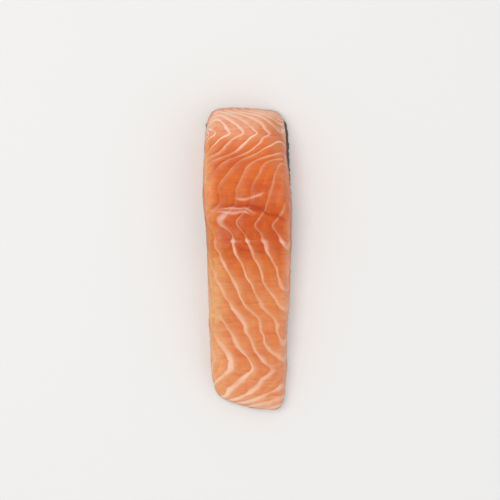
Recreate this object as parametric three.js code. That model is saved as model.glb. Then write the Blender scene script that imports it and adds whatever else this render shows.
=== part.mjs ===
// A raw, thick salmon fillet portion, cut across the side of the fish and lying on its skin.
// Millimetres, +Z up. +Y runs to the thick edge of the back, -Y to the thin cut edge of the belly.
// X runs along the body of the fish. The origin is at the bottom centre of the bounding box.
import * as THREE from "three";

// Driving dimensions
const filletLength = 165; // from the back edge to the belly edge
const filletWidth = 48.6; // the widest place
const skinThick = 1.0; // skin with the firm fat under it
const fleshGap = 0.3; // between the skin and the flesh

// How far the two cut sides lie from the middle line, as [station along Y, X]
const leftSide = [
  [-82.5, -18.6],
  [-66, -19.7],
  [-40, -20.8],
  [0, -22],
  [16, -22.5],
  [29, -24.1],
  [45, -24.3],
  [62, -23.6],
  [82.5, -22.6],
];
const rightSide = [
  [-82.5, 20.9],
  [-60, 21.3],
  [-45, 21.5],
  [-20, 23],
  [0, 23.6],
  [26, 24.2],
  [42, 22.9],
  [60, 21.2],
  [82.5, 21],
];
// The belly cut runs askew: it draws back from bellyTipX towards the left side.
const bellyTipX = 10;
const bellyDrawBack = { factor: 0.028, power: 1.7 };
const backTipX = -4; // the back edge is a very shallow arc with its top here
const backDrawBack = 0.0028;
const cornerPower = 10; // of the squircle that rounds the four corners

// Thickness of the portion along Y, skin included, as [station along Y, height]
const thickness = [
  [-82.5, 11.4],
  [-60, 14.3],
  [-30, 18],
  [0, 21.3],
  [30, 24],
  [52, 25.2],
  [82.5, 24.4],
];
const crownDrop = 0.07; // share of the height that the top falls by the sides
// Rounding from the cut face to the top: how far in it reaches, and how square it is
const shoulder = { side: 5.2, back: 17, belly: 8.5 };
const shoulderPower = { side: 2.7, back: 2.1, belly: 2.3 };
const spineEnd = 0.72; // share of the half length at which the two ends begin

// The white sheets between the flakes are one zigzag, repeated side by side and numbered to the right.
// [station along Y, number on the line X = 0, distance to the next sheet]
const sheets = [
  [-92, 1.12, 14.7],
  [-82.5, -0.79, 13.2],
  [-76, -2.5, 11.6],
  [-71, -3.21, 12.6],
  [-65, -3.76, 11.2],
  [-61, -4.12, 11.4],
  [-58.5, -4.2, 11.5],
  [-55.5, -4.08, 9.7],
  [-49, -3.38, 8.2],
  [-40, -2.93, 8.8],
  [-33, -2.61, 9.5],
  [-24, -1.82, 8.7],
  [-14, -1.2, 8],
  [-3, -0.61, 9],
  [5, -0.14, 9.4],
  [12, 0.04, 8.7],
  [18.7, 0.56, 9.9],
  [23, 0.32, 9.4],
  [30, -0.22, 8.8],
  [38, -0.36, 9.4],
  [46, -0.77, 8.2],
  [52, -1.32, 7.5],
  [57, -2.88, 7.3],
  [61.5, -3.65, 7.9],
  [65, -4.14, 7.7],
  [67.5, -4.67, 7.5],
  [70, -4.4, 7],
  [73.5, -3.72, 6.8],
  [77.5, -2.1, 6.2],
  [81, 1.14, 4.8],
  [85, 4.38, 3.4],
  [90, 7.5, 3.4],
];
const sheetLean = 0.6; // how far a sheet slants along X for each mm of depth
// Near the belly edge a sheet slants along Y too, so it runs on down the cut face.
const bellyLean = { rate: 0.25, from: 62, full: 80 };
// The zigzag runs askew near two stations, each given with its half width.
const askewRate = 0.08;
const askewNear = [
  [19, 11],
  [-59, 9],
];
// At the right and the left of the back the zigzag sinks towards the belly, by so much at most.
const sinks = [
  { side: 1, beyond: 6.3, rate: 0.0185, from: 44, full: 60 },
  { side: -1, beyond: 14, rate: 0.12, from: 64, full: 72 },
];
const sinkMost = 6;
const grooveDepth = 0.32;
const grooveHalfWidth = 1.25;

// A fold lies across the flesh where the back meets the flank, and a faint one below it.
const folds = [
  { y: 29, x: -10, bend: 0.0085, depth: 1.0, halfWidth: 1.9, from: -12, to: 23 },
  { y: 9.8, x: 0, bend: 0.002, depth: 0.3, halfWidth: 1.5, from: -19, to: 12 },
];
const foldLip = { share: 0.45, below: 3.4, halfWidth: 2.2 };

// The skin stands out past the flesh on the right of the back, up to its corner, and hardly elsewhere.
const skinMargin = { all: 0.15, right: 1.6, from: 32, full: 66, fade: 75, gone: 78 };

// Steps of the mesh
const rimPoints = 232;
const shoulderRows = 7;
const topRows = 13;
const innerRing = 0.045; // size of the last ring, which is closed straight across

// A smooth curve through [station, value] pairs, read at one station.
// column chooses the value where the rows hold more than one.
function along(knots, station, column = 1) {
  const last = knots.length - 1;
  const s = THREE.MathUtils.clamp(station, knots[0][0], knots[last][0]);
  let i = 0;
  while (i < last - 1 && s > knots[i + 1][0]) i++;
  const slope = (k) => {
    const before = knots[Math.max(k - 1, 0)];
    const after = knots[Math.min(k + 1, last)];
    return (after[column] - before[column]) / (after[0] - before[0]);
  };
  const span = knots[i + 1][0] - knots[i][0];
  const t = (s - knots[i][0]) / span;
  const t2 = t * t;
  const t3 = t2 * t;
  return (
    (2 * t3 - 3 * t2 + 1) * knots[i][column] +
    (t3 - 2 * t2 + t) * span * slope(i) +
    (3 * t2 - 2 * t3) * knots[i + 1][column] +
    (t3 - t2) * span * slope(i + 1)
  );
}

const mix = THREE.MathUtils.lerp;
const smooth = THREE.MathUtils.smoothstep;
const bell = (distance, halfWidth) => Math.exp(-((distance / halfWidth) ** 2));

// From the unit square to the plan of the portion.
function planPoint(a, b) {
  const across = (a + 1) / 2;
  const bellyX = mix(leftSide[0][1], rightSide[0][1], across);
  const askew = bellyDrawBack.factor * Math.max(0, bellyTipX - bellyX) ** bellyDrawBack.power;
  const bowed = backDrawBack * ((a * filletWidth) / 2 - backTipX) ** 2;
  const y = mix(askew - filletLength / 2, filletLength / 2 - bowed, (b + 1) / 2);
  return new THREE.Vector2(mix(along(leftSide, y), along(rightSide, y), across), y);
}

// Points round the unit square with its corners rounded, counter-clockwise from the belly end.
// The first and the middle point lie on the middle line, so point i mirrors point rimPoints - i.
function unitRim() {
  const around = 2 * (filletWidth + filletLength);
  return Array.from({ length: rimPoints }, (_, i) => {
    const mirrored = i > rimPoints / 2;
    const walk = ((mirrored ? rimPoints - i : i) / rimPoints) * around;
    const half = filletWidth / 2;
    const side = walk - half;
    let p = 1;
    let q = THREE.MathUtils.clamp((2 * side) / filletLength - 1, -1, 1);
    if (side < 0) p = walk / half;
    if (side > filletLength) p = 1 - (side - filletLength) / half;
    const pull = (p ** cornerPower + Math.abs(q) ** cornerPower) ** (-1 / cornerPower);
    return new THREE.Vector2((mirrored ? -p : p) * pull, q * pull);
  });
}

// The top of the flesh before its edges are rounded.
function topHeight(x, y) {
  const mid = (along(leftSide, y) + along(rightSide, y)) / 2;
  const across = (x - mid) / (filletWidth / 2);
  const lumps =
    0.4 * Math.sin(x / 8 + 1.2) * Math.sin(y / 14 + 0.5) +
    0.3 * Math.sin(x / 12 - y / 10 + 2);
  return along(thickness, y) * (1 - crownDrop * across * across) + lumps;
}

// The station at which the zigzag is read for a place.
function sheetStation(x, y, depth) {
  let station = y - bellyLean.rate * depth * smooth(-y, bellyLean.from, bellyLean.full);
  for (const [place, reach] of askewNear) {
    station += askewRate * x * bell(y - place, reach);
  }
  for (const sink of sinks) {
    const lower = sink.rate * Math.max(0, sink.side * x - sink.beyond) ** 2;
    station += Math.min(lower, sinkMost) * smooth(y, sink.from, sink.full);
  }
  return station;
}

// The number of the sheet at a place; it is whole on a sheet and a fraction in the flake beside it.
function sheetNumber(x, y, depth) {
  const station = sheetStation(x, y, depth);
  return along(sheets, station) + (x - sheetLean * depth) / along(sheets, station, 2);
}

// How much the flesh is hollowed at a point, across its surface.
function hollowing(point) {
  const { x, y, z } = point;
  const depth = Math.max(0, topHeight(x, y) - z);
  const number = sheetNumber(x, y, depth);
  const alongX = sheetNumber(x + 0.5, y, depth) - sheetNumber(x - 0.5, y, depth);
  const alongY = sheetNumber(x, y + 0.5, depth) - sheetNumber(x, y - 0.5, depth);
  const spacing = 1 / Math.hypot(alongX, alongY);
  const off = Math.abs(number - Math.round(number)) * spacing;
  let hollow = grooveDepth * smooth(spacing, 2, 6) * bell(off, grooveHalfWidth);
  for (const fold of folds) {
    const line = fold.y - fold.bend * (x - fold.x) ** 2;
    const reach = smooth(x, fold.from, fold.from + 9) * smooth(-x, -fold.to, -fold.to + 5);
    const lip = foldLip.share * bell(y - line + foldLip.below, foldLip.halfWidth);
    hollow += fold.depth * reach * (bell(y - line, fold.halfWidth) - lip);
  }
  return hollow;
}

// A closed skin of triangles over rings of equal length, the lowest ring first.
// The first and the last ring are closed straight across, point to mirrored point.
function ringsGeometry(rings) {
  const n = rings[0].length;
  const index = [];
  for (let r = 0; r + 1 < rings.length; r++) {
    for (let i = 0; i < n; i++) {
      const j = (i + 1) % n;
      const [low, high] = [r * n, (r + 1) * n];
      index.push(low + i, low + j, high + j, low + i, high + j, high + i);
    }
  }
  const top = (rings.length - 1) * n;
  for (let i = 0; i < n / 2; i++) {
    const [j, mirrorI, mirrorJ] = [i + 1, (n - i) % n, n - i - 1];
    if (j !== mirrorJ) {
      index.push(top + j, top + mirrorJ, top + i);
      index.push(i, mirrorJ, j);
    }
    if (i !== mirrorI) {
      index.push(top + mirrorJ, top + mirrorI, top + i);
      index.push(i, mirrorI, mirrorJ);
    }
  }
  const geometry = new THREE.BufferGeometry().setFromPoints(rings.flat());
  geometry.setIndex(index);
  geometry.computeVertexNormals();
  return geometry;
}

// The flesh: cut faces that lean in, round over at the shoulder and run on across the top.
function fleshGeometry() {
  const bottom = skinThick + fleshGap;
  const rim = unitRim();
  const rings = [];
  for (let row = 0; row <= shoulderRows + topRows; row++) {
    rings.push(
      rim.map((p) => {
        const spineB = THREE.MathUtils.clamp(p.y, -spineEnd, spineEnd);
        const end = Math.abs(p.y - spineB) / (1 - spineEnd);
        const kind = p.y > 0 ? "back" : "belly";
        const reach = mix(shoulder.side, shoulder[kind], end * end);
        const power = mix(shoulderPower.side, shoulderPower[kind], end);
        const outer = planPoint(p.x, p.y);
        const inset = reach / outer.distanceTo(planPoint(0, spineB));
        const turn = (Math.min(row / shoulderRows, 1) * Math.PI) / 2;
        const rise = Math.sin(turn) ** (2 / power);
        const across = Math.max(0, row - shoulderRows) / topRows;
        const shoulderScale = 1 - inset * (1 - Math.max(0, Math.cos(turn)) ** (2 / power));
        const scale = mix(shoulderScale, innerRing, across);
        const at = planPoint(p.x * scale, mix(spineB, p.y, scale));
        return new THREE.Vector3(at.x, at.y, mix(bottom, topHeight(at.x, at.y), rise));
      }),
    );
  }
  const geometry = ringsGeometry(rings);
  const position = geometry.getAttribute("position");
  const normal = geometry.getAttribute("normal");
  const point = new THREE.Vector3();
  const outwards = new THREE.Vector3();
  for (let i = rimPoints; i < position.count; i++) {
    point.fromBufferAttribute(position, i);
    outwards.fromBufferAttribute(normal, i);
    point.addScaledVector(outwards, -hollowing(point));
    position.setXYZ(i, point.x, point.y, point.z);
  }
  return geometry;
}

// The skin: a thin flat sheet under the flesh, with a soft edge.
function skinGeometry() {
  const edge = skinThick * 0.3;
  const rim = unitRim().map((p) => {
    const at = planPoint(p.x, p.y);
    const near = smooth(at.y, skinMargin.from, skinMargin.full);
    const kept = smooth(-at.y, -skinMargin.gone, -skinMargin.fade);
    const margin = skinMargin.all + skinMargin.right * near * kept * smooth(p.x, 0.85, 1);
    at.x += Math.sign(p.x) * margin * Math.min(1, Math.abs(p.x) * 1.2);
    return at;
  });
  const ring = (shrink, z) =>
    rim.map((p) => {
      const scale = 1 - shrink / (filletWidth / 2);
      const alongScale = 1 - shrink / (filletLength / 2);
      return new THREE.Vector3(p.x * scale, p.y * alongScale, z);
    });
  return ringsGeometry([
    ring(edge, 0),
    ring(0, edge),
    ring(0, skinThick - edge),
    ring(edge, skinThick),
  ]);
}

function fleshMaterial() {
  return new THREE.MeshStandardMaterial({ color: 0xd97848, roughness: 0.35, metalness: 0 });
}

function skinMaterial() {
  return new THREE.MeshStandardMaterial({ color: 0x5c5a5e, roughness: 0.4, metalness: 0.15 });
}

const flesh = new THREE.Mesh(fleshGeometry(), fleshMaterial());
flesh.name = "flesh";
const skin = new THREE.Mesh(skinGeometry(), skinMaterial());
skin.name = "skin";

const fillet = new THREE.Group();
fillet.add(flesh, skin);

// The two sides aren't mirror images, so the box is centred once both pieces are made.
const middle = new THREE.Box3().setFromObject(fillet).getCenter(new THREE.Vector3());
fillet.position.set(-middle.x, -middle.y, 0);

export default fillet;
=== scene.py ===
import bpy
import numpy as np
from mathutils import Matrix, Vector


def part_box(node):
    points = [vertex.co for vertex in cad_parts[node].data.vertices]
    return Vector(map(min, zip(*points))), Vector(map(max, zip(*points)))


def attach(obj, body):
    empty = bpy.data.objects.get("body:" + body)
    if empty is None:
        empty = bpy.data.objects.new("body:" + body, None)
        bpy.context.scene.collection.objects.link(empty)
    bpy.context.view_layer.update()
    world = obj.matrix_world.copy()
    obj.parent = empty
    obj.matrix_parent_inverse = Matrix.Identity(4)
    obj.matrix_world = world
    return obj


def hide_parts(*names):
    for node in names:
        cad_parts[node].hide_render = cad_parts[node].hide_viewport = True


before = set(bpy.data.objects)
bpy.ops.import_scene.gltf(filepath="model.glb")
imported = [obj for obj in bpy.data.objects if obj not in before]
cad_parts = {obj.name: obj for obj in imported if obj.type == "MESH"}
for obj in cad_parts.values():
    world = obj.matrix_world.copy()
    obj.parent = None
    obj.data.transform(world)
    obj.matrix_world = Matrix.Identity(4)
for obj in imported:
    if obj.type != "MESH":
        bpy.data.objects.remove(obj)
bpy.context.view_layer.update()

perMetre = 1000  # the dictionaries' millimetres in a metre

# The portion's form, the same as in the CAD part. X runs across it, and a station is a place along Y, from
# the thin belly edge to the thick back
form = {
    "length": 165,  # from the back edge to the belly edge
    "width": 48.6,
    "skinThick": 1.0,
    # [station, X] of the two cut sides
    "leftSide": [(-82.5, -18.6), (-66, -19.7), (-40, -20.8), (0, -22), (16, -22.5), (29, -24.1),
                 (45, -24.3), (62, -23.6), (82.5, -22.6)],
    "rightSide": [(-82.5, 20.9), (-60, 21.3), (-45, 21.5), (-20, 23), (0, 23.6), (26, 24.2),
                  (42, 22.9), (60, 21.2), (82.5, 21)],
    "bellyTipX": 10,  # the belly cut draws back to the left of this
    "bellyDrawBack": 0.028,
    "bellyPower": 1.7,
    "backTipX": -4,
    "backDrawBack": 0.0028,
    "cornerPower": 10,
    # [station, height], skin included
    "thickness": [(-82.5, 11.4), (-60, 14.3), (-30, 18), (0, 21.3), (30, 24), (52, 25.2), (82.5, 24.4)],
    "crownDrop": 0.07,
    "roundLumps": (0.4, 8, 1.2, 14, 0.5),  # height, length and phase along X, length and phase along Y
    "slantedLumps": (0.3, 12, 10, 2),  # height, length along X and along Y, phase
    "shoulder": {"side": 5.2, "back": 17, "belly": 8.5},
    "shoulderPower": {"side": 2.7, "back": 2.1, "belly": 2.3},
    "spineEnd": 0.72,
    # the white sheets between the flakes: [station, number on the line X = 0, distance apart]
    "sheets": [
        (-92, 1.12, 14.7), (-82.5, -0.79, 13.2), (-76, -2.5, 11.6), (-71, -3.21, 12.6), (-65, -3.76, 11.2),
        (-61, -4.12, 11.4), (-58.5, -4.2, 11.5), (-55.5, -4.08, 9.7), (-49, -3.38, 8.2), (-40, -2.93, 8.8),
        (-33, -2.61, 9.5), (-24, -1.82, 8.7), (-14, -1.2, 8), (-3, -0.61, 9), (5, -0.14, 9.4),
        (12, 0.04, 8.7), (18.7, 0.56, 9.9), (23, 0.32, 9.4), (30, -0.22, 8.8), (38, -0.36, 9.4),
        (46, -0.77, 8.2), (52, -1.32, 7.5), (57, -2.88, 7.3), (61.5, -3.65, 7.9), (65, -4.14, 7.7),
        (67.5, -4.67, 7.5), (70, -4.4, 7), (73.5, -3.72, 6.8), (77.5, -2.1, 6.2), (81, 1.14, 4.8),
        (85, 4.38, 3.4), (90, 7.5, 3.4),
    ],
    "sheetLean": 0.6,  # how far a sheet slants along X for each mm of depth
    "bellyLean": {"rate": 0.25, "from": 62, "full": 80},  # and along Y near the belly edge
    # the zigzag runs askew near two stations, each with its half width
    "askew": {"rate": 0.08, "near": [(19, 11), (-59, 9)]},
    # at both sides of the back it sinks towards the belly, by so much at most
    "sink": [
        {"side": 1, "beyond": 6.3, "rate": 0.0185, "from": 44, "full": 60},
        {"side": -1, "beyond": 14, "rate": 0.12, "from": 64, "full": 72},
    ],
    "sinkMost": 6,
}


def toLinear(hexColour):
    # sRGB hex to the linear colour that Blender works in: a straight part near black, then a power of 2.4
    channels = [int(hexColour[i:i + 2], 16) / 255 for i in (1, 3, 5)]
    return [c / 12.92 if c <= 0.04045 else ((c + 0.055) / 1.055) ** 2.4 for c in channels] + [1.0]


def addNode(tree, kind, settings=None, links=None):
    # adds a node and returns its outputs: settings are its properties, and links its inputs, each a value or
    # another node's output
    node = tree.nodes.new(kind)
    for name, value in (settings or {}).items():
        setattr(node, name, value)
    for key, value in (links or {}).items():
        if isinstance(value, bpy.types.NodeSocket):
            tree.links.new(value, node.inputs[key])
        else:
            node.inputs[key].default_value = value
    return node.outputs


def startMaterial(name, fields):
    # a new material, the place in millimetres and the named fields of the mesh
    material = bpy.data.materials.new(name)
    material.use_nodes = True
    tree = material.node_tree
    tree.nodes.clear()
    place = addNode(tree, "ShaderNodeTexCoord")["Object"]
    inMm = addNode(tree, "ShaderNodeVectorMath", {"operation": "SCALE"}, {0: place, "Scale": perMetre})[0]
    vectors = [addNode(tree, "ShaderNodeAttribute", {"attribute_name": field})["Vector"] for field in fields]
    return material, tree, inMm, vectors


def addObject(name, data):
    # an object linked to the scene
    made = bpy.data.objects.new(name, data)
    bpy.context.scene.collection.objects.link(made)
    return made


def along(knots, station, column=1):
    # a smooth curve through the rows of knots: a cubic between each two, with the slope of their neighbours
    places = np.array([k[0] for k in knots], float)
    values = np.array([k[column] for k in knots], float)
    last = len(knots) - 1
    s = np.clip(station, places[0], places[last])
    i = np.clip(np.searchsorted(places, s) - 1, 0, last - 1)
    before = np.maximum(np.arange(last + 1) - 1, 0)
    after = np.minimum(np.arange(last + 1) + 1, last)
    slope = (values[after] - values[before]) / (places[after] - places[before])
    span = places[i + 1] - places[i]
    t = (s - places[i]) / span
    return (
        (2 * t**3 - 3 * t**2 + 1) * values[i]
        + (t**3 - 2 * t**2 + t) * span * slope[i]
        + (3 * t**2 - 2 * t**3) * values[i + 1]
        + (t**3 - t**2) * span * slope[i + 1]
    )


def smoothStep(value, low, high):
    # an even S from 0 at low to 1 at high: three times the square less twice the cube of the way between
    t = np.clip((value - low) / (high - low), 0, 1)
    return t * t * (3 - 2 * t)


def levels(knots, value):
    # flat before the first knot and after the last, with an even S from each knot's level to the next
    total = knots[0][1]
    for (low, before), (high, after) in zip(knots, knots[1:]):
        total = total + (after - before) * smoothStep(value, low, high)
    return total


def between(value, start, stop, fadeIn, fadeOut):
    # 1 between start and stop, with an even S over the fade inside each of them
    return smoothStep(value, start, start + fadeIn) * (1 - smoothStep(value, stop - fadeOut, stop))


def bell(distance, halfWidth):
    # 1 at no distance, falling off as e to minus the square of distance over half width
    return np.exp(-((distance / halfWidth) ** 2))


def spot(x, y, place, halves):
    # a bell along X times a bell along Y, each with its own half width
    return bell(x - place[0], halves[0]) * bell(y - place[1], halves[1])


def mix(low, high, share):
    # low where share is 0, high where it is 1, straight between them
    return low + (high - low) * share


def waves(x, y, z, length, seed, count=16, spread=(0.7, 1.5), gain=1.2):
    # a soft random field of about -1 to 1: the sum of plain sine waves near one length, each in its own
    # direction and phase, over the square root of their count
    dice = np.random.default_rng(seed)
    total = np.zeros(np.shape(x))
    for _ in range(count):
        direction = dice.normal(size=3)
        direction *= 2 * np.pi / (np.linalg.norm(direction) * length * dice.uniform(*spread))
        total += np.sin(x * direction[0] + y * direction[1] + z * direction[2] + dice.uniform(0, 2 * np.pi))
    return total * gain / np.sqrt(count)


def uneven(x, y, z, parts):
    # the sum of soft random fields, each given as length, height and seed
    return sum(height * waves(x, y, z, length, seed) for length, height, seed in parts)


def planPoint(a, b):
    # from the unit square to the plan: Y is mixed between the belly cut, drawn back by a power of X, and the
    # back edge, bowed by the square of X; then X is mixed between the two cut sides at that station
    across = (a + 1) / 2
    bellyX = mix(form["leftSide"][0][1], form["rightSide"][0][1], across)
    askew = form["bellyDrawBack"] * np.maximum(0, form["bellyTipX"] - bellyX) ** form["bellyPower"]
    bowed = form["backDrawBack"] * (a * form["width"] / 2 - form["backTipX"]) ** 2
    y = mix(askew - form["length"] / 2, form["length"] / 2 - bowed, (b + 1) / 2)
    return mix(along(form["leftSide"], y), along(form["rightSide"], y), across), y


def unitRim(count):
    # points round the unit square, evenly apart on the real outline and mirrored about the middle line, with
    # the corners pulled in until the powers of both coordinates sum to 1, as on a superellipse
    i = np.arange(count)
    mirrored = i > count / 2
    length, half, power = form["length"], form["width"] / 2, form["cornerPower"]
    walk = np.where(mirrored, count - i, i) / count * 2 * (form["width"] + length)
    side = walk - half  # the way gone along the cut side
    q = np.clip(2 * side / length - 1, -1, 1)
    onBack = 1 - (side - length) / half
    p = np.where(side < 0, walk / half, np.where(side > length, onBack, 1))
    pull = (p**power + np.abs(q) ** power) ** (-1 / power)
    return np.where(mirrored, -p, p) * pull, q * pull


def topHeight(x, y):
    # the top before its edges are rounded: the thickness, less a crown by the square of the way across,
    # plus the product of two sine waves and one slanted sine wave
    middle = (along(form["leftSide"], y) + along(form["rightSide"], y)) / 2
    across = (x - middle) / (form["width"] / 2)
    height, lengthX, phaseX, lengthY, phaseY = form["roundLumps"]
    lumps = height * np.sin(x / lengthX + phaseX) * np.sin(y / lengthY + phaseY)
    height, lengthX, lengthY, phase = form["slantedLumps"]
    lumps = lumps + height * np.sin(x / lengthX - y / lengthY + phase)
    return along(form["thickness"], y) * (1 - form["crownDrop"] * across**2) + lumps


def sheetNumber(x, y, depth):
    # whole on a sheet, and a fraction in the flake to its right: the number on the line X = 0 plus X over the
    # distance apart, both read at a station that leans with depth, runs askew and sinks at the sides
    lean, askew = form["bellyLean"], form["askew"]
    station = y - lean["rate"] * depth * smoothStep(-y, lean["from"], lean["full"])
    station = station + askew["rate"] * x * sum(bell(y - place, reach) for place, reach in askew["near"])
    for sink in form["sink"]:
        lower = sink["rate"] * np.maximum(0, sink["side"] * x - sink["beyond"]) ** 2
        station = station + np.minimum(lower, form["sinkMost"]) * smoothStep(y, sink["from"], sink["full"])
    apart = along(form["sheets"], station, 2)
    return along(form["sheets"], station) + (x - form["sheetLean"] * depth) / apart


def sheetSpacing(x, y, depth, reach=0.5):
    # millimetres from one sheet to the next, square to them: 1 over the length of the number's slope, which
    # is measured over a millimetre
    alongX = (sheetNumber(x + reach, y, depth) - sheetNumber(x - reach, y, depth)) / (2 * reach)
    alongY = (sheetNumber(x, y + reach, depth) - sheetNumber(x, y - reach, depth)) / (2 * reach)
    return 1 / np.hypot(alongX, alongY)


def facing(points):
    # the outward direction on a grid of rings: the cross product of the step round and the step inwards
    around = np.roll(points, -1, axis=1) - np.roll(points, 1, axis=1)
    inwards = np.gradient(points, axis=0)
    normal = np.cross(around, inwards)
    return normal / np.maximum(np.linalg.norm(normal, axis=2, keepdims=True), 1e-9)


def ringMesh(name, points, fields):
    # rings from low to high joined by quads; the first and last ring are closed point to mirrored point
    rows, count, _ = points.shape
    ring = np.arange(count)
    following = (ring + 1) % count
    base = (np.arange(rows - 1) * count)[:, None]
    walls = np.stack([base + ring, base + following, base + count + following, base + count + ring], axis=2)
    step = np.arange(1, count // 2 - 1)
    cap = np.stack([step, step + 1, count - step - 1, count - step], axis=1)
    top = (rows - 1) * count
    middle = count // 2
    quads = np.concatenate([walls.reshape(-1, 4), cap[:, ::-1], cap + top])
    ends = [[0, count - 1, 1], [middle, middle - 1, middle + 1],
            [top, top + 1, top + count - 1], [top + middle, top + middle + 1, top + middle - 1]]
    mesh = bpy.data.meshes.new(name)
    mesh.from_pydata(points.reshape(-1, 3) / perMetre, [], quads.tolist() + ends)
    mesh.polygons.foreach_set("use_smooth", np.ones(len(mesh.polygons), bool))
    for field, values in fields.items():
        attribute = mesh.attributes.new(field, "FLOAT_VECTOR", "POINT")
        attribute.data.foreach_set("vector", values.reshape(-1).astype(np.float32))
    mesh.validate()
    mesh.update()
    piece = addObject(name, mesh)
    print(name, len(mesh.vertices), "points,", sum(len(p.vertices) - 2 for p in mesh.polygons), "triangles")
    return piece


def tintAlong(stops, station):
    # the colour between named stations, mixed in linear light
    colours = np.array([toLinear(colour)[:3] for _, colour in stops])
    places = [place for place, _ in stops]
    return np.stack([np.interp(station, places, colours[:, c]) for c in range(3)], axis=-1)


def over(base, colour, share):
    # lays one colour over a field of colours by a share from 0 to 1
    return mix(base, np.array(toLinear(colour)[:3]), np.clip(share, 0, 1)[..., None])


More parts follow.
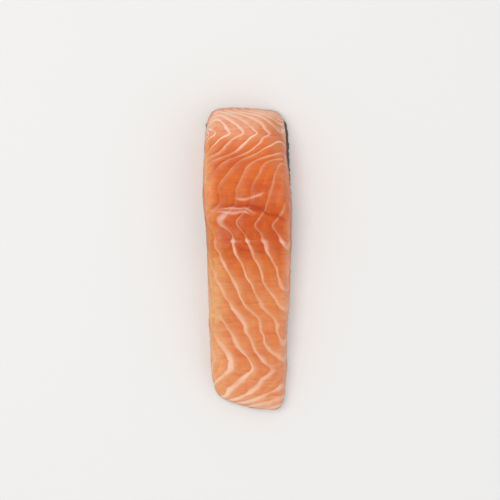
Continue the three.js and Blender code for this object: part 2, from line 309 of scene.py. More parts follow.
# Flesh: the muscle. A random field is given as [length, height, seed], and "side" is the way across the
# portion, from -1 at its left edge to 1 at its right
flesh = {
    "around": 760,
    "shoulderRows": 34,
    "topRows": 82,
    "innerRing": 0.012,
    "seatRows": [(1.0, 0.965), (1.02, 0.985), (1.12, 0.995)],  # height and scale of the tucked-in bottom edge
    "wallFoot": 1.4,  # height at which the cut faces begin
    "firm": (-0.3, 1.5),  # the relief comes in between these heights above the foot
    "stray": [(7, 0.6, 31), (3.2, 0.32, 32)],  # each sheet strays from the pattern in straight stretches
    "strayRoom": 7,  # sheets nearer to each other than this stray less
    "groove": (0.2, 0.8),  # depth and half width of the groove at a sheet
    "valley": (0.1, 2.4),
    "roomy": (2, 6),  # the relief comes in where the sheets are so far apart
    # how much higher a flake stands beside one sheet than beside the next, on the top and, between two
    # depths, down to the cut faces; and the width of the step
    "shingle": {"top": 0.12, "wall": 0.25, "depths": (3, 8), "width": 1.2},
    "swell": [(18, 0.2, 3), (6, 0.05, 4), (2.6, 0.02, 5)],  # soft unevenness of the whole surface
    # a fold lies where the back meets the flank, and a faint one below it; their painted lines wander
    "folds": [
        {"y": 29, "x": -10, "bend": 0.0085, "depth": 1.0, "halfWidth": 1.3, "from": -12, "to": 23,
         "wander": [(8, 0.6, 37)]},
        {"y": 9.8, "x": 0, "bend": 0.002, "depth": 0.2, "halfWidth": 0.8, "from": -19, "to": 19,
         "wander": [(7, 0.25, 39)]},
    ],
    "foldFade": (9, 5),  # over what length a fold comes in on its left and goes out on its right
    "foldLip": (0.5, 3.0, 2.0),  # share of the depth, how far below, half width
    # painted highlights on the lip below the fold: how far below it; from X, to X; fade at both ends; half
    # width, share
    "lipHighlights": [(2.1, -17, 6, 5, 7, 0.42, 0.9), (3.8, -18, 4, 4, 7, 0.45, 0.75)],
    # a broken pale thread lies along the faint fold
    "faintThread": {"share": 0.22, "halfWidth": 0.28, "broken": [(6, 1, 38)], "range": (-0.5, 0.7)},
    # depths between which the top's colours and marks give way to those of the cut faces; the wide round of
    # the back counts as less deep, in full from the second station
    "topFade": (2.5, 7),
    "leftFade": (1.5, 11),  # the same for the left side's colour
    "roundBack": {"less": 7, "stations": (66, 76)},
    # on the two end faces the pale surface gives way to muscle, with thinner and fainter lines: the depths
    # at the belly and at the back, and how far along Y from the middle
    "endFace": {"belly": (2.5, 7), "back": (7, 15), "stations": (66, 78), "share": 0.85, "tint": "#db7c46",
                "thinner": 0.62, "strength": 0.42, "duller": 0.8, "lineTint": "#ecb696", "lineShare": 0.8},
    # the muscle's colour from the belly to the back, at both edges and in the middle. It is partly painted
    # light
    # and shade: the left ramp is lighter and yellower as painted light, the right one greyer and darker as
    # painted shade, and the palest tints at the back, at 74 and 82, are painted light for the shade and glare
    # on its round
    "tints": {
        "left": [(-82, "#f3c39c"), (-74, "#f0b482"), (-58, "#ebae7a"), (-28, "#e8b67e"), (-4, "#e5aa6c"),
                 (5, "#d9823a"), (20, "#de8b46"), (30, "#eeab74"), (44, "#f2b47e"), (57, "#f0ac74"),
                 (62, "#e8954e"), (82, "#fed6bc")],
        "middle": [(-82, "#f2bf9c"), (-74, "#e69868"), (-58, "#e08b56"), (-15, "#dd874c"), (-4, "#d6732f"),
                   (5, "#ca5c12"), (20, "#cc5808"), (44, "#dc7026"), (57, "#db6e2c"), (62, "#e07e42"),
                   (74, "#f0b490"), (82, "#ffd6bc")],
        "right": [(-82, "#ecbca0"), (-74, "#e1a684"), (-58, "#dca280"), (-4, "#e2a480"), (5, "#e29c6c"),
                  (30, "#d5804a"), (57, "#d08c68"), (68, "#cb7e50"), (74, "#d08c64"), (82, "#f2c4a4")],
    },
    # [station, way to the side] from which the left and the right colour come in
    "sideFrom": {"left": [(15, 0.35), (32, 0.62)], "right": [(36, 0.7), (46, 0.5), (60, 0.5), (72, 0)]},
    # painted light: a yellower glow laid along the left edge of the top, for light reflected onto it
    "leftGlowPainted": {"tint": "#ebb66a", "share": 0.38, "from": 0.86, "depths": (1.5, 5)},
    # redder and brighter patches where a random field is high; the red is stronger near one station
    "deep": {"tint": "#c0441c", "fields": [(26, 1, 11), (10, 0.6, 12)], "range": (-0.2, 1.6),
             "share": 0.1, "more": 0.25, "station": 26, "halfWidth": 32},
    "bright": {"tint": "#e67c2c", "fields": [(4.5, 1, 14)], "range": (0.1, 1.6), "share": 0.25},
    # paler, pinker and redder places: (X, Y), (half widths along both), share, colour
    "places": [
        ((-3, 72), (8, 4), 0.45, "#f0ae98"), ((17, 34), (4, 3), 0.3, "#eaa878"),
        ((10, 69), (5, 3), 0.5, "#dc7440"), ((-17, 58), (4.5, 5), 0.5, "#d8641c"),
        # the deep red place at (5, 27.6) is painted shade in the fold's crease
        ((5, 27.6), (6, 2), 0.6, "#b23408"), ((-14, 14), (4, 4), 0.5, "#bc4400"),
        ((-6, 14), (3.5, 3.5), 0.3, "#bc4400"), ((-12, 8), (5, 2.5), 0.3, "#c04c06"),
    ],
    # threads painted on the surface: [X, Y, slope, bend, from X, to X, half width, share, colour]
    "threads": [
        (-4, 32.1, 0, 0.022, -8, 10, 0.6, 0.75, "#f2c4b4"),
        (6, 3.6, -0.2, 0, -8, 11, 0.8, 0.45, "#b4360c"),
        # painted shade: this dark red thread darkens the left part of the fold's crease
        (-12, 28.4, 0.02, 0.004, -22, -4, 1.6, 0.35, "#b4400f"),
    ],
    "threadFade": 4,
    "threadShake": 0.4,  # share of the ragged field that moves a thread
    "ragged": [(5, 0.35, 13)],
    # dark muscle lies on the skin, highest near one station, and a layer of fat lies under it, a little
    # higher away from there; both have a soft upper edge, so far below and above their height
    "darkMuscle": {"tint": "#8e5a47", "share": 0.8, "height": 0.7, "higher": 4.4, "station": 19,
                   "halfWidth": 17, "soft": (-0.8, 0.6)},
    "fat": {"tint": "#ecd3bd", "share": 0.85, "height": 0.55, "higher": 0.5, "station": 15,
            "away": (25, 60), "ragged": 0.5, "soft": (-0.2, 0.35)},
    # the white lines: [station, half width in mm, strength, glow]
    "lines": [
        (-82.5, 0.85, 0.75, 0.5), (-60, 0.9, 0.7, 0.6), (-37, 0.65, 0.63, 0.5), (-29, 0.65, 0.52, 0.5),
        (-17, 0.6, 0.66, 0.5), (-9, 0.55, 0.7, 0.45), (4, 0.55, 0.6, 0.35), (9.8, 0.5, 0.55, 0.2),
        (13, 0.42, 0.34, 0.2), (22, 0.42, 0.34, 0.15), (30, 0.42, 0.16, 0.1), (38, 0.42, 0.12, 0.1),
        (44, 0.42, 0.24, 0.1), (50, 0.4, 0.32, 0.1), (56, 0.4, 0.46, 0.12), (61, 0.42, 0.7, 0.15),
        (68, 0.46, 0.88, 0.2), (75, 0.5, 0.72, 0.3), (82.5, 0.5, 0.5, 0.3),
    ],
    "thinnest": 0.2,
    "lineUneven": {"width": [(12, 0.22, 33)], "fineWidth": [(5, 0.16, 34)], "strength": [(12, 0.25, 35)],
                   "glow": [(16, 0.6, 36)]},
    # on the faint fold a line is wider and stronger by so much, over this half width; a share of that trails
    # on below it and ends between two distances, and all of it is less at the right
    "blob": {"wider": 0.6, "stronger": 0.3, "halfWidth": 1.2, "trail": 0.14, "trailEnd": (3, 8),
             "lessRight": 0.4, "right": (0.5, 0.8)},
    # one sheet comes up flat beside the fold
    "patch": {"place": (-14, 22.8), "halves": (3, 4.5), "wider": 1.5, "stronger": 0.15,
              "pinkHalves": (4.5, 6.75)},
    # where the lines are fainter: the share, the levels by side (by X at the back's corner) and by station
    "fades": {
        "leftTop": (0.6, [(-0.9, 1), (-0.55, 0)], [(-62, 0), (-40, 1), (54, 1), (62, 0)]),
        "rightFlank": (0.25, [(-0.3, 0), (0.6, 1)], [(-4, 1), (4, 0)]),
        "rightTop": (0.5, [(0.8, 0), (1, 1)], [(0, 1)]),
        "backCorner": (0.55, [(6, 0), (16, 1)], [(64, 0), (73, 1)]),
    },
    "boldArch": {"stronger": 1.2, "x": (7, 13), "station": 35, "halfWidth": 8},
    "wallLines": {"strength": 0.7, "depths": (5, 10)},  # on the cut faces
    "glow": {"steady": 0.75, "lessRight": 0.5, "right": (0.1, 0.5)},
    "lineTints": [(-82, "#fad9bf"), (-70, "#f7d0b2"), (-48, "#f2c5a8"), (-5, "#f1be9a"), (22, "#efb48c"),
                  (45, "#f0b68e"), (56, "#f2ba9a"), (66, "#fbd0b8"), (74, "#f9ceb6"), (82, "#fbd6c2")],
    # pinker on the faint fold, on the patch and where a line is wider by these shares
    "linePink": {"tint": "#f0bcae", "fold": 0.8, "patch": 0.9, "wide": 0.35, "wider": (0.044, 0.264)},
}


def wander(number, station, length, seed, sheets=40, knots=80):
    # each sheet has its own random values at knots of this spacing, straight between them; a flake is mixed
    # from the sheets on its two sides
    dice = np.random.default_rng(seed)
    table = dice.normal(size=(sheets, knots))
    phase = dice.uniform(0, knots, sheets)

    def stray(sheet):
        row = sheet.astype(int) % sheets
        place = station / length + phase[row] + knots
        knot = np.floor(place).astype(int)
        return mix(table[row, knot % knots], table[row, (knot + 1) % knots], place - knot)

    low = np.floor(number)
    return mix(stray(low), stray(low + 1), number - low)


def foldLine(fold, x):
    # the station of a fold: a parabola with its top at the fold's x
    return fold["y"] - fold["bend"] * (x - fold["x"]) ** 2


def foldReach(fold, x):
    # 1 along the fold, fading at its two ends
    return between(x, fold["from"], fold["to"], *flesh["foldFade"])


def fleshPoints():
    # rings that rise along the cut faces, turn over a superellipse shoulder and run in to the spine
    p, q = unitRim(flesh["around"])
    spine = np.clip(q, -form["spineEnd"], form["spineEnd"])
    end = np.abs(q - spine) / (1 - form["spineEnd"])
    reach, power = (
        mix(values["side"], np.where(q > 0, values["back"], values["belly"]), share)
        for values, share in ((form["shoulder"], end**2), (form["shoulderPower"], end)))
    outerX, outerY = planPoint(p, q)
    spineX, spineY = planPoint(0 * p, spine)
    inset = reach / np.hypot(outerX - spineX, outerY - spineY)
    row = np.arange(flesh["shoulderRows"] + flesh["topRows"] + 1)[:, None]
    turn = np.minimum(row / flesh["shoulderRows"], 1) * np.pi / 2
    rise = np.sin(turn) ** (2 / power)
    shoulderScale = 1 - inset * (1 - np.maximum(0, np.cos(turn)) ** (2 / power))
    across = np.maximum(0, row - flesh["shoulderRows"]) / flesh["topRows"]
    scale = mix(shoulderScale, flesh["innerRing"], across)
    x, y = planPoint(p * scale, mix(spine, q, scale))
    z = mix(flesh["wallFoot"], topHeight(x, y), rise)
    seats = []
    for height, share in flesh["seatRows"]:
        seatX, seatY = planPoint(p * share, mix(spine, q, share))
        seats.append(np.stack([seatX, seatY, np.full_like(seatX, height)], axis=-1))
    return np.concatenate([np.array(seats), np.stack([x, y, z], axis=-1)])


def fleshHollow(x, y, depth, number, spacing):
    # how far the surface lies below the smooth form: two bells at each sheet for a groove and a wide valley,
    # a slope across each flake, and a bell less a lower, wider one for each fold and its lip
    off = np.abs(number - np.round(number)) * spacing
    roomy = smoothStep(spacing, *flesh["roomy"])
    hollow = np.zeros_like(off)
    for deepest, halfWidth in (flesh["groove"], flesh["valley"]):
        hollow += deepest * roomy * bell(off, halfWidth)
    share = number - np.floor(number)
    shingle = flesh["shingle"]
    step = mix(shingle["top"], shingle["wall"], smoothStep(depth, *shingle["depths"])) * roomy
    hollow += step * (share - smoothStep(share * spacing, 0, shingle["width"]))
    lipShare, below, halfWidth = flesh["foldLip"]
    for fold in flesh["folds"]:
        past = y - foldLine(fold, x)
        lip = lipShare * bell(past + below, halfWidth)
        hollow += fold["depth"] * foldReach(fold, x) * (bell(past, fold["halfWidth"]) - lip)
    return hollow


def onEndFace(y, depth):
    # 1 on an end face: an even S by depth times one by station, at the belly and at the back
    end = flesh["endFace"]
    belly = smoothStep(depth, *end["belly"]) * smoothStep(-y, *end["stations"])
    return belly + smoothStep(depth, *end["back"]) * smoothStep(y, *end["stations"])


def fleshTint(x, y, z, depth, side):
    # the muscle's colour before the lines are drawn on it: three ramps from the belly to the back mixed
    # across the portion, partly painted light and shade, with the painted glow of the left edge, the end
    # faces, patches, places, threads and layers laid over them; one place and one thread are painted shade in
    # the fold's crease
    back = flesh["roundBack"]
    roundDepth = depth - back["less"] * smoothStep(y, *back["stations"])
    onTop = 1 - smoothStep(roundDepth, *flesh["topFade"])
    onLeft = 1 - smoothStep(roundDepth, *flesh["leftFade"])
    left, middle, right = (tintAlong(flesh["tints"][part], y) for part in ("left", "middle", "right"))
    # painted light and shade: the left colour comes in lighter and the right one darker
    leftShare = smoothStep(-side, levels(flesh["sideFrom"]["left"], y), 1) * onLeft
    rightShare = smoothStep(side, levels(flesh["sideFrom"]["right"], y), 1) * onTop
    tint = mix(mix(middle, left, leftShare[..., None]), right, rightShare[..., None])

    edge, end, deep, bright = (flesh[part] for part in ("leftGlowPainted", "endFace", "deep", "bright"))
    # painted light: the yellow glow along the left edge
    inPaintedGlow = smoothStep(-side, edge["from"], 1) * (1 - smoothStep(depth, *edge["depths"]))
    tint = over(tint, edge["tint"], edge["share"] * inPaintedGlow)
    tint = over(tint, end["tint"], end["share"] * onEndFace(y, depth))
    redness = deep["share"] + deep["more"] * bell(y - deep["station"], deep["halfWidth"])
    tint = over(tint, deep["tint"], redness * smoothStep(uneven(x, y, z, deep["fields"]), *deep["range"]))
    brightness = smoothStep(uneven(x, y, z, bright["fields"]), *bright["range"])
    tint = over(tint, bright["tint"], bright["share"] * brightness)
    for place, halves, share, colour in flesh["places"]:
        tint = over(tint, colour, share * spot(x, y, place, halves) * onTop)

    ragged = uneven(x, y, z, flesh["ragged"])
    fade = flesh["threadFade"]
    for threadX, threadY, slope, bend, start, stop, halfWidth, share, colour in flesh["threads"]:
        line = threadY + slope * (x - threadX) + bend * (x - threadX) ** 2 - flesh["threadShake"] * ragged
        reach = between(x, start, stop, fade, fade) * onTop
        tint = over(tint, colour, share * reach * bell(y - line, halfWidth))

    above = z - form["skinThick"]
    dark, fat = flesh["darkMuscle"], flesh["fat"]
    height = dark["height"] + dark["higher"] * bell(y - dark["station"], dark["halfWidth"]) + ragged
    tint = over(tint, dark["tint"], dark["share"] * (1 - smoothStep(above - height, *dark["soft"])))
    away = smoothStep(np.abs(y - fat["station"]), *fat["away"])
    height = fat["height"] + fat["higher"] * away + fat["ragged"] * ragged
    return over(tint, fat["tint"], fat["share"] * (1 - smoothStep(above - height, *fat["soft"])))


def fleshLines(x, y, z, depth, side):
    # half width, strength and glow of the white lines, and their colour: each is read by station, then made
    # uneven by a random field, raised on the faint fold and the patch, and lowered by the fades
    blob, patch, end, pink = (flesh[part] for part in ("blob", "patch", "endFace", "linePink"))
    bold, wall, glowing = (flesh[part] for part in ("boldArch", "wallLines", "glow"))
    varied = {name: uneven(x, y, z, parts) for name, parts in flesh["lineUneven"].items()}
    onTop = 1 - smoothStep(depth, *flesh["topFade"])
    onEnd = onEndFace(y, depth)
    below = foldLine(flesh["folds"][1], x) - y
    trail = blob["trail"] * smoothStep(below, 0, 1) * (1 - smoothStep(below, *blob["trailEnd"]))
    onFaint = np.maximum(bell(below, blob["halfWidth"]), trail) * onTop
    onFaint = onFaint * (1 - blob["lessRight"] * smoothStep(side, *blob["right"]))
    onPatch = spot(x, y, patch["place"], patch["halves"])

    def fade(name, across):
        share, acrossLevels, stationLevels = flesh["fades"][name]
        return share * levels(acrossLevels, across) * levels(stationLevels, y)

    width, strength, glow = (along(flesh["lines"], y, column) for column in (1, 2, 3))
    width = width * (1 + varied["width"] + varied["fineWidth"])
    width = width + blob["wider"] * onFaint + patch["wider"] * onPatch
    width = width * (1 - end["thinner"] * onEnd)
    strength = (strength + blob["stronger"] * onFaint) * (1 - fade("leftTop", side) * onTop)
    strength = strength + patch["stronger"] * onPatch
    strength = strength * (1 - fade("rightFlank", side)) * (1 - fade("rightTop", side) * onTop)
    strength = strength * (1 - fade("backCorner", x)) * (1 + varied["strength"])
    onBold = smoothStep(x, *bold["x"]) * bell(y - bold["station"], bold["halfWidth"])
    strength = strength * (1 + bold["stronger"] * onBold)
    onWall = mix(wall["strength"], end["strength"], onEnd)
    strength = mix(strength, onWall, smoothStep(depth, *wall["depths"]))
    glow = glow * (glowing["steady"] + varied["glow"])
    glow = glow * (1 - glowing["lessRight"] * smoothStep(side, *glowing["right"]))
    glow = glow * (1 - end["duller"] * onEnd)
    pinkness = pink["fold"] * onFaint + pink["patch"] * spot(x, y, patch["place"], patch["pinkHalves"])
    pinkness = pinkness + pink["wide"] * smoothStep(varied["width"], *pink["wider"])
    colour = over(tintAlong(flesh["lineTints"], y), end["lineTint"], end["lineShare"] * onEnd)
    colour = over(colour, pink["tint"], pinkness)
    line = [np.maximum(width, flesh["thinnest"]), np.clip(strength, 0, 1), np.clip(glow, 0, 1)]
    return np.stack(line, axis=-1), colour


def foldMarks(x, y, z, depth):
    # millimetres above the crease of the main fold, how strongly its painted shade shows, and how strongly
    # the pale threads show, which along the lip are painted highlights: the highest of a bell along each of
    # them
    main, faint = flesh["folds"]
    past = y - foldLine(main, x) + uneven(x, y, z, main["wander"])
    pale = np.zeros_like(x)
    # the painted highlights along the fold's lip
    for below, start, stop, fadeIn, fadeOut, halfWidth, share in flesh["lipHighlights"]:
        reach = between(x, start, stop, fadeIn, fadeOut)
        pale = np.maximum(pale, share * reach * bell(past + below, halfWidth))
    thread = flesh["faintThread"]
    broken = smoothStep(uneven(x, y, z, thread["broken"]), *thread["range"])
    pastFaint = y - foldLine(faint, x) + uneven(x, y, z, faint["wander"])
    pale = np.maximum(pale, thread["share"] * broken * bell(pastFaint, thread["halfWidth"]))
    onTop = 1 - smoothStep(depth, *flesh["topFade"])
    return np.stack([past, foldReach(main, x) * onTop, pale * onTop], axis=-1)


def makeFlesh(shift):
    # the smooth form, moved in along its facing by the hollow and the swell
    points = fleshPoints()
    x, y, z = np.moveaxis(points, 2, 0)
    depth = np.maximum(0, topHeight(x, y) - z)
    regular = sheetNumber(x, y, depth)
    spacing = sheetSpacing(x, y, depth)
    number = regular
    for length, far, seed in flesh["stray"]:
        room = smoothStep(spacing, 0, flesh["strayRoom"])
        number = number + far * wander(regular, y, length, seed) * room / spacing
    hollow = fleshHollow(x, y, depth, number, spacing) + uneven(x, y, z, flesh["swell"])
    firm = smoothStep(z - flesh["wallFoot"], *flesh["firm"])
    points = points - facing(points) * (hollow * firm)[..., None]
    left, right = along(form["leftSide"], y), along(form["rightSide"], y)
    side = (2 * x - left - right) / (right - left)
    line, lineTint = fleshLines(x, y, z, depth, side)
    fields = {
        "tint": fleshTint(x, y, z, depth, side),
        "sheet": np.stack([number, spacing, depth], axis=-1),
        "line": line,
        "lineTint": lineTint,
        "fold": foldMarks(x, y, z, depth),
    }
    piece = ringMesh("salmonFlesh", points + shift, fields)
    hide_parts("flesh")
    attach(piece, "root")
    return piece


# Skin: a thin sheet with scales on its underside, standing out past the flesh at the right of the back
skin = {
    "around": 640,
    "underRows": 70,
    "underScale": (0.01, 0.99),  # of the first and the last ring of the underside
    "edgeRows": 6,
    "edgeScale": (0.992, 0.008),  # of the edge's rings, and how much more halfway up
    "topScales": (0.97, 0.9),
    "spineEnd": 0.85,
    # how far it stands out past the flesh: all round, and more at the right by these levels of the station;
    # it narrows to nothing where an end crosses the middle line
    "margin": {"all": 0.15, "right": 1.6, "stations": [(32, 0), (66, 1), (75, 1), (78, 0)], "narrows": 1.2},
    "atSide": (0.85, 1),  # the way to the side over which a margin comes in
    # a bit stands out at the left, where the cut edge is bare of fat over the last half width
    "leftTab": {"far": 0.7, "station": 73.4, "halfWidth": 1.5, "bare": 4},
    "ragged": [(2.2, 0.16, 21)],
    "raggedFrom": 0.9,  # scale of the ring from which the torn edge shows
    "scaleLong": 3.6,  # along the fish
    "scaleWide": 3.0,
    "scaleReach": (0.62, 0.56),  # of its dome, as a share of its length and width
    "scaleRise": (0.55, 0.9),  # height at its middle, and how much more for each length towards its free end
    "scaleRim": 0.82,  # share of its reach from which the dome falls off
    "scaleShade": 0.7,  # and from which it is darker
    "scaleRelief": 0.12,
    "tints": [(-82, "#cfcbc6"), (-40, "#c3c3c4"), (-5, "#a4a8ad"), (14, "#7d8288"), (30, "#777069"),
              (50, "#655b53"), (66, "#4f4741"), (82, "#443e39")],
    "tintWander": [(9, 5, 22)],  # the border between two colours wanders along Y
    "scaleEdge": ("#2c2e33", 0.35),
    # the row of pores along the flank
    "lateralLine": {"station": 19, "halfWidth": 0.8, "tint": "#2a2b2f", "share": 0.5},
    # the fat at its cut edge, between two heights; it is bare of it at the right of the back
    "rim": {"tint": "#e2c6b2", "share": 0.85, "heights": (0.3, 0.6), "bareStations": (25, 40),
            "bareX": (5, 15)},
    "undersideTop": 0.2,  # height at which the underside's finish ends
}


def skinRim(count):
    # the outline of the flesh, moved out along X by the margin, which grows by station and by the way to the
    # side, with a bell for the tab at the left
    p, q = unitRim(count)
    x, y = planPoint(p, q)
    margin, tab = skin["margin"], skin["leftTab"]
    atRight, atLeft = smoothStep(p, *skin["atSide"]), smoothStep(-p, *skin["atSide"])
    out = margin["all"] + margin["right"] * levels(margin["stations"], y) * atRight
    out = out + tab["far"] * bell(y - tab["station"], tab["halfWidth"]) * atLeft
    return x + np.sign(p) * out * np.minimum(1, np.abs(p) * margin["narrows"]), y, p


def scaleHeight(x, y):
    # overlapping scales on two staggered lattices: each is a dome that is highest at its free end, and the
    # higher of the two shows
    best = np.zeros_like(x)
    edge = np.ones_like(x)
    middle, slope = skin["scaleRise"]
    for stagger in (0, 0.5):
        u = x / skin["scaleLong"] + stagger
        v = y / skin["scaleWide"] + stagger
        du = u - np.round(u)
        dv = v - np.round(v)
        reach = np.hypot(du / skin["scaleReach"][0], dv / skin["scaleReach"][1])
        height = (middle + slope * du) * (1 - smoothStep(reach, skin["scaleRim"], 1))
        edge = np.where(height > best, smoothStep(reach, skin["scaleShade"], 1), edge)
        best = np.maximum(best, height)
    return best, edge


def makeSkin(shift):
    # rings from the spine out along the underside, round the edge as a half circle and a little way in on
    # the top; each is the rim scaled towards the spine, and the outer ones are multiplied by a random field
    x, y, p = skinRim(skin["around"])
    halfLength, halfThick = form["length"] / 2, form["skinThick"] / 2
    spineX, spineY = planPoint(0 * p, np.clip(y / halfLength, -skin["spineEnd"], skin["spineEnd"]))
    ragged = 1 + uneven(x, y, 0 * x, skin["ragged"]) / (form["width"] / 2)
    scales = [(scale, 0) for scale in np.linspace(*skin["underScale"], skin["underRows"] + 1)]
    for turn in np.linspace(0, np.pi, skin["edgeRows"]):
        edgeScale = skin["edgeScale"][0] + skin["edgeScale"][1] * np.sin(turn)
        scales.append((edgeScale, halfThick * (1 - np.cos(turn))))
    scales += [(scale, form["skinThick"]) for scale in skin["topScales"]]
    rings = []
    for scale, height in scales:
        inside = scale * (ragged if scale > skin["raggedFrom"] else 1)
        ringX, ringY = mix(spineX, x, inside), mix(spineY, y, inside)
        rings.append(np.stack([ringX, ringY, np.full_like(ringX, height)], axis=-1))
    points = np.array(rings)
    placeX, placeY, low = points[..., 0], points[..., 1], points[..., 2].copy()
    under = 1 - smoothStep(low, 0, skin["undersideTop"])
    height, edge = scaleHeight(placeX, placeY)
    points[..., 2] += skin["scaleRelief"] * (1 - height) * under

    line, rim, tab = skin["lateralLine"], skin["rim"], skin["leftTab"]
    tint = tintAlong(skin["tints"], placeY + uneven(placeX, placeY, 0 * placeY, skin["tintWander"]))
    tint = over(tint, skin["scaleEdge"][0], skin["scaleEdge"][1] * edge * under)
    tint = over(tint, line["tint"], line["share"] * bell(placeY - line["station"], line["halfWidth"]) * under)
    bareRight = smoothStep(placeY, *rim["bareStations"]) * smoothStep(placeX, *rim["bareX"])
    bareLeft = bell(placeY - tab["station"], tab["bare"]) * smoothStep(-placeX, *rim["bareX"])
    bare = np.maximum(bareRight, bareLeft)
    tint = over(tint, rim["tint"], rim["share"] * smoothStep(points[..., 2], *rim["heights"]) * (1 - bare))
    piece = ringMesh("salmonSkin", points + shift, {"tint": tint})
    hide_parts("skin")
    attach(piece, "root")
    return piece


# Raw salmon muscle, filleted with a wet knife: satin, moist, slightly translucent, with pale sheets of
# connective tissue and fat between the flakes
muscle = {
    "roughness": 0.5,
    "roughnessSpread": 0.2,
    "ior": 1.33,
    "coat": 0.3,  # it is wet
    "coatRoughness": 0.1,
    "coatIor": 1.33,
    "subsurface": 0.3,
    "subsurfaceMm": (2.4, 0.8, 0.4),
    "glowColour": "#e8a878",
    "blushColour": "#f3b596",  # what a redder fibre multiplies the colour by
    # painted shade: the deep red that darkens the fold's crease
    "creaseShadeColour": "#b93a10",
    # the pale threads: painted highlights on the fold's lip, and the faint fold's thread
    "lipColour": "#f3c8b6",
    "fibreSpacing": 1.4,  # mm; a real fibre bundle is 0.3 mm, drawn coarser to show
    "fibreLength": 8,
    "fibreTurn": 0.12,
    # noises: scale (for each mm or each fibre), detail, distortion
    "shakeNoise": (0.7, 2.0, 0.0),
    "mottleNoise": (0.45, 3.0, 0.0),
    "fibreNoise": (1.0, 1.0, 0.5),
    "streakNoise": (0.7, 1.0, 0.8),
    # ramps: from, to, and the level at each; the first two by half widths of a line, the others by mm, but
    # the streaks by their noise
    "crisp": (-1.5, -0.5, 0.0, 1.0),  # the left flank of a line
    "soft": (0.1, 2.3, 1.0, 0.0),  # and its right one
    "glowIn": (-0.7, 0.3, 0.0, 1.0),
    "glowOut": (-0.5, 6.0, 1.0, 0.0),  # the glow reaches this far into the flake on the right
    "shade": (-4.5, -0.5, 0.87, 0.78),  # the muscle is darker towards a sheet from the left
    # the painted shade in the crease, by mm from it
    "creaseShadeRamp": (0.0, 1.4, 0.75, 0.0),
    "streak": (0.35, 0.75, 0.0, 0.5),
    "shake": 0.06,  # how far a line shakes, as a share of its flake
    "lineRoom": 0.22,  # a line's half width is at most this share of its flake
    "fibreShade": 0.14,
    "mottleShade": 0.18,
    "lipShare": 0.75,
    "relief": 0.05,
    "sheetRelief": -0.5,  # a sheet lies lower than the fibres
}


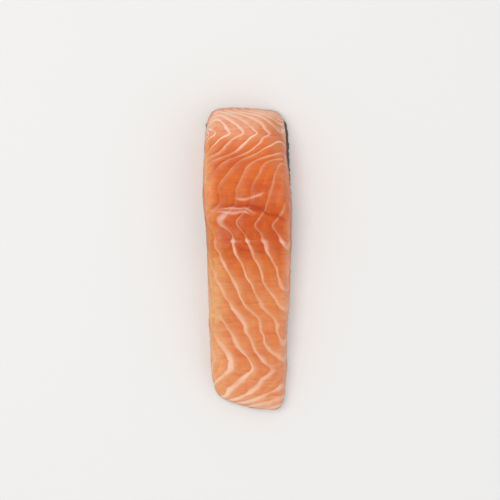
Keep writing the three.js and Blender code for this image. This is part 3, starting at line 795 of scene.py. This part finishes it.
def muscleMaterial():
    # the tint of the mesh, made lighter and darker by noise and by the way from the nearest sheet, with the
    # white lines, their glow, a painted shade in the crease and the pale threads, partly painted highlights,
    # laid over it
    material, tree, inMm, (tint, lineTint, *packed) = startMaterial(
        "rawSalmonMuscle", ("tint", "lineTint", "sheet", "line", "fold"))
    (number, spacing, _), (halfWidth, strength, glow), (pastFold, foldShare, lip) = (
        addNode(tree, "ShaderNodeSeparateXYZ", links={0: vector}) for vector in packed)

    # fibres run across the flakes, along the fish
    alongFibre, acrossFibre = 1 / muscle["fibreLength"], 1 / muscle["fibreSpacing"]
    turned = addNode(tree, "ShaderNodeMapping", links={
        "Vector": inMm, "Rotation": (0.0, 0.0, muscle["fibreTurn"]),
        "Scale": (alongFibre, acrossFibre, acrossFibre)})[0]
    ragged, mottle, fibre, streak = (
        addNode(tree, "ShaderNodeTexNoise", links={
            "Vector": vector, "Scale": scale, "Detail": detail, "Distortion": distortion})["Fac"]
        for vector, (scale, detail, distortion) in (
            (inMm, muscle["shakeNoise"]), (inMm, muscle["mottleNoise"]),
            (turned, muscle["fibreNoise"]), (turned, muscle["streakNoise"])))

    # millimetres from the nearest sheet, less than 0 on its left; a quick noise makes it a little ragged
    shake = muscle["shake"]
    shaken = addNode(tree, "ShaderNodeMath", {"operation": "MULTIPLY_ADD"}, {
        0: ragged, 1: shake, 2: 0.5 - shake / 2})[0]
    moved = addNode(tree, "ShaderNodeMath", {"operation": "ADD"}, {0: number, 1: shaken})[0]
    share = addNode(tree, "ShaderNodeMath", {"operation": "FRACT"}, {0: moved})[0]
    fromSheet = addNode(tree, "ShaderNodeMath", {"operation": "SUBTRACT"}, {0: share, 1: 0.5})[0]
    offset = addNode(tree, "ShaderNodeMath", {"operation": "MULTIPLY"}, {0: fromSheet, 1: spacing})[0]

    # the same in half widths of its line, which is no wider than its flake allows
    room = addNode(tree, "ShaderNodeMath", {"operation": "MULTIPLY"}, {0: spacing, 1: muscle["lineRoom"]})[0]
    width = addNode(tree, "ShaderNodeMath", {"operation": "MINIMUM"}, {0: halfWidth, 1: room})[0]
    steps = addNode(tree, "ShaderNodeMath", {"operation": "DIVIDE"}, {0: offset, 1: width})[0]
    fromFold = addNode(tree, "ShaderNodeMath", {"operation": "ABSOLUTE"}, {0: pastFold})[0]
    crisp, soft, near, far, darker, creaseShadeRamp, blush = (
        addNode(tree, "ShaderNodeMapRange", {"interpolation_type": shape}, {
            "Value": value, "From Min": start, "From Max": stop, "To Min": low, "To Max": high})[0]
        for shape, value, (start, stop, low, high) in (
            ("SMOOTHSTEP", steps, muscle["crisp"]), ("SMOOTHSTEP", steps, muscle["soft"]),
            ("SMOOTHSTEP", offset, muscle["glowIn"]), ("SMOOTHSTEP", offset, muscle["glowOut"]),
            ("SMOOTHSTEP", offset, muscle["shade"]), ("SMOOTHSTEP", fromFold, muscle["creaseShadeRamp"]),
            ("LINEAR", streak, muscle["streak"])))
    core, halo = (
        addNode(tree, "ShaderNodeMath", {"operation": "MULTIPLY"}, {0: left, 1: right})[0]
        for left, right in ((crisp, soft), (near, far)))
    drawn, halo, creaseShade, pale = (
        addNode(tree, "ShaderNodeMath", {"operation": "MULTIPLY"}, {0: mark, 1: by})[0]
        for mark, by in ((core, strength), (halo, glow), (creaseShadeRamp, foldShare), (lip, muscle["lipShare"])))

    # colour: the muscle made lighter and darker by fibres, mottle and the way from a sheet, then glow, lines,
    # the deep red painted shade of the crease and pale threads (partly painted highlights) over it
    grain = addNode(tree, "ShaderNodeMath", {"operation": "MULTIPLY_ADD"}, {
        0: fibre, 1: muscle["fibreShade"], 2: darker})[0]
    level = addNode(tree, "ShaderNodeMath", {"operation": "MULTIPLY_ADD"}, {
        0: mottle, 1: muscle["mottleShade"], 2: grain})[0]
    blushed = addNode(tree, "ShaderNodeMix", {"data_type": "RGBA", "blend_type": "MULTIPLY"}, {
        "Factor": blush, "A": tint, "B": toLinear(muscle["blushColour"])})["Result"]
    colour = addNode(tree, "ShaderNodeVectorMath", {"operation": "SCALE"}, {0: blushed, "Scale": level})[0]
    for by, laid in ((halo, toLinear(muscle["glowColour"])), (drawn, lineTint),
                     (creaseShade, toLinear(muscle["creaseShadeColour"])), (pale, toLinear(muscle["lipColour"]))):
        colour = addNode(tree, "ShaderNodeMix", {"data_type": "RGBA"}, {
            "Factor": by, "A": colour, "B": laid})["Result"]

    # relief too fine for the mesh: sheets lie a little low, and fibres show as faint threads
    relief = addNode(tree, "ShaderNodeMath", {"operation": "MULTIPLY_ADD"}, {
        0: core, 1: muscle["sheetRelief"], 2: fibre})[0]
    relief = addNode(tree, "ShaderNodeMath", {"operation": "ADD"}, {0: relief, 1: mottle})[0]
    bump = addNode(tree, "ShaderNodeBump", links={
        "Height": relief, "Distance": muscle["relief"] / perMetre, "Strength": 1.0})[0]
    spread = muscle["roughnessSpread"]
    rough = addNode(tree, "ShaderNodeMath", {"operation": "MULTIPLY_ADD"}, {
        0: mottle, 1: spread, 2: muscle["roughness"] - spread / 2})[0]
    shader = addNode(tree, "ShaderNodeBsdfPrincipled", links={
        "Base Color": colour, "Roughness": rough, "Normal": bump, "IOR": muscle["ior"],
        "Coat Weight": muscle["coat"], "Coat Roughness": muscle["coatRoughness"],
        "Coat IOR": muscle["coatIor"], "Subsurface Weight": muscle["subsurface"],
        "Subsurface Scale": 1 / perMetre, "Subsurface Radius": muscle["subsurfaceMm"]})[0]
    addNode(tree, "ShaderNodeOutputMaterial", links={"Surface": shader})
    return material


# Scaled fish skin, moist: dark pigment at the back, silver at the flank, with a slippery shine
hide = {
    "roughness": 0.3,
    "metallic": 0.25,
    "coat": 0.4,
    "coatRoughness": 0.12,
    "grain": (1.6, 3.0),  # scale for each mm, and detail
    "speckles": (0.35, 0.7, 0.8, 1.35),  # from and to in the grain, and the level at each
    "relief": 0.06,
}


def hideMaterial():
    # the tint of the mesh, made lighter and darker by a fine grain that also raises the surface
    material, tree, inMm, (tint,) = startMaterial("salmonSkinScales", ("tint",))
    scale, detail = hide["grain"]
    grain = addNode(tree, "ShaderNodeTexNoise", links={
        "Vector": inMm, "Scale": scale, "Detail": detail})["Fac"]
    start, stop, low, high = hide["speckles"]
    speckles = addNode(tree, "ShaderNodeMapRange", links={
        "Value": grain, "From Min": start, "From Max": stop, "To Min": low, "To Max": high})[0]
    colour = addNode(tree, "ShaderNodeVectorMath", {"operation": "SCALE"}, {0: tint, "Scale": speckles})[0]
    bump = addNode(tree, "ShaderNodeBump", links={"Height": grain, "Distance": hide["relief"] / perMetre})[0]
    shader = addNode(tree, "ShaderNodeBsdfPrincipled", links={
        "Base Color": colour, "Roughness": hide["roughness"], "Metallic": hide["metallic"], "Normal": bump,
        "Coat Weight": hide["coat"], "Coat Roughness": hide["coatRoughness"]})[0]
    addNode(tree, "ShaderNodeOutputMaterial", links={"Surface": shader})
    return material


# Stage: floor, light and camera
stage = {
    "floor": "#e9eaea",
    "floorSide": 6.0,  # metres
    "floorRoughness": 0.8,
    "world": "#f7f6f5",
    "worldStrength": 0.76,
    # name, colour, watts, width and place in metres; each looks at the portion
    "lights": [
        ("keyLight", "#fffaf4", 5.8, 0.7, (-0.4, 0.25, 1.2)),
        ("fillLight", "#f2f6ff", 2.6, 1.2, (0.9, -0.5, 1.0)),
    ],
    "view": (1.29, 4.82),  # the point below the camera, in the form's millimetres
    "viewWidth": 274.1,
    "cameraHeight": 1200,
}


def makeStage(shift):
    # a pale table top, an even sky, two square lamps and a camera that looks straight down
    half = stage["floorSide"] / 2
    corners = [(-half, -half, 0), (half, -half, 0), (half, half, 0), (-half, half, 0)]
    mesh = bpy.data.meshes.new("floor")
    mesh.from_pydata(corners, [], [(0, 1, 2, 3)])
    floor = addObject("floor", mesh)
    material = bpy.data.materials.new("paleTable")
    material.use_nodes = True
    surface = material.node_tree.nodes["Principled BSDF"].inputs
    surface["Base Color"].default_value = toLinear(stage["floor"])
    surface["Roughness"].default_value = stage["floorRoughness"]
    mesh.materials.append(material)
    world = bpy.data.worlds.new("studio")
    world.use_nodes = True
    sky = world.node_tree.nodes["Background"].inputs
    sky["Color"].default_value = toLinear(stage["world"])
    sky["Strength"].default_value = stage["worldStrength"]
    bpy.context.scene.world = world
    for name, colour, watts, width, place in stage["lights"]:
        lamp = bpy.data.lights.new(name, "AREA")
        lamp.color = toLinear(colour)[:3]
        lamp.energy = watts
        lamp.size = width
        light = addObject(name, lamp)
        light.location = place
        light.rotation_euler = (-light.location).to_track_quat("-Z", "Y").to_euler()
    lens = bpy.data.cameras.new("camera")
    lens.lens = lens.sensor_width * stage["cameraHeight"] / stage["viewWidth"]
    camera = addObject("camera", lens)
    viewX, viewY = stage["view"]
    camera.location = (
        (viewX + shift[0]) / perMetre, (viewY + shift[1]) / perMetre, stage["cameraHeight"] / perMetre)
    bpy.context.scene.camera = camera
    bpy.context.scene.view_settings.view_transform = "Standard"
    print("stage ready")


# The CAD part is centred on its box, so the form is shifted by the centre of the skin's outline
rimX, rimY, _ = skinRim(skin["around"])
lowSkin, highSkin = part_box("skin")
shift = np.array([
    (lowSkin.x + highSkin.x) * perMetre / 2 - (rimX.min() + rimX.max()) / 2,
    (lowSkin.y + highSkin.y) * perMetre / 2 - (rimY.min() + rimY.max()) / 2,
    0,
])
print("form shifted by", shift.round(2), "mm")
makeStage(shift)
makeFlesh(shift).data.materials.append(muscleMaterial())
makeSkin(shift).data.materials.append(hideMaterial())
